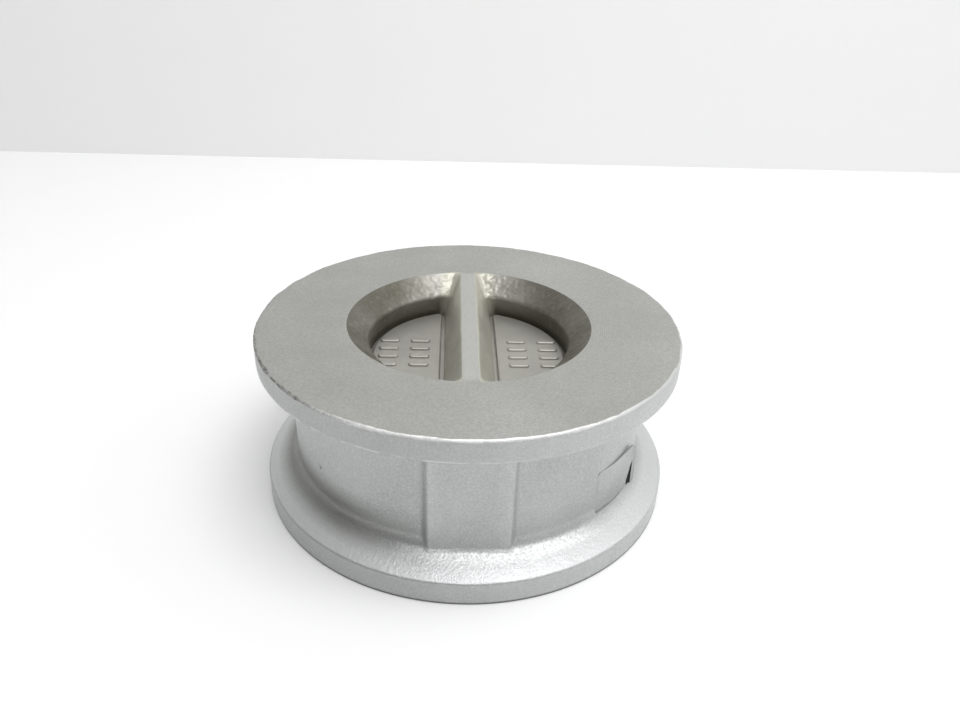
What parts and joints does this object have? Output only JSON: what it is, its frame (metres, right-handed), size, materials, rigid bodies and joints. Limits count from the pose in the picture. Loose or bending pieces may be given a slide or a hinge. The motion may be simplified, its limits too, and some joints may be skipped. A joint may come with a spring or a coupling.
{
  "type": "wafer check valve",
  "caption": "Dual-plate wafer check valve: a flanged cast body with a centre bar across its inlet and two spring-closed half-round plates on one hinge pin.",
  "frame": {"origin": "centre of the outlet gasket face, on the flow axis", "axes": "+Z along the flow axis from the outlet to the inlet, +Y along the hinge pin and the centre bar, +X across the two plates"},
  "size_m": [0.175, 0.175, 0.073],
  "materials": {
    "painted_casting": "satin",
    "seat_rubber": "matte",
    "plate_steel": "satin",
    "pin_steel": "satin",
    "carrier_steel": "satin",
    "screw_steel": "satin",
    "bearing_steel": "satin",
    "spring_wire": "satin",
    "plate_paint": "satin"
  },
  "bodies": {
    "housing": {"body": "painted_casting", "seat_insert": "seat_rubber", "hinge_pin": "pin_steel", "stop_pin": "pin_steel", "carrier_front": "carrier_steel", "carrier_rear": "carrier_steel", "set_screws": "screw_steel", "body_bearing_front": "bearing_steel", "body_bearing_rear": "bearing_steel", "plate_bearing_front": "bearing_steel", "plate_bearing_rear": "bearing_steel", "spring_bearing_front": "bearing_steel", "spring_bearing_rear": "bearing_steel", "centre_spacer": "bearing_steel", "spring_front": "spring_wire", "spring_rear": "spring_wire", "nameplate": "plate_paint"},
    "left_plate": {"plate_left": "plate_steel"},
    "right_plate": {"plate_right": "plate_steel"}
  },
  "joints": [
    {"name": "right_plate_hinge", "type": "hinge", "parent": "housing", "child": "right_plate", "pos_m": [0, 0, 0.042], "axis": [0, 1, 0], "range_deg": [0, 80], "stiffness_Nm_per_rad": 0.08, "springref_deg": -85.94, "deforming": ["spring_front", "spring_rear"]},
    {"name": "left_plate_hinge", "type": "hinge", "parent": "housing", "child": "left_plate", "pos_m": [0, 0, 0.042], "axis": [0, -1, 0], "range_deg": [0, 80], "stiffness_Nm_per_rad": 0.08, "springref_deg": -85.94}
  ]
}
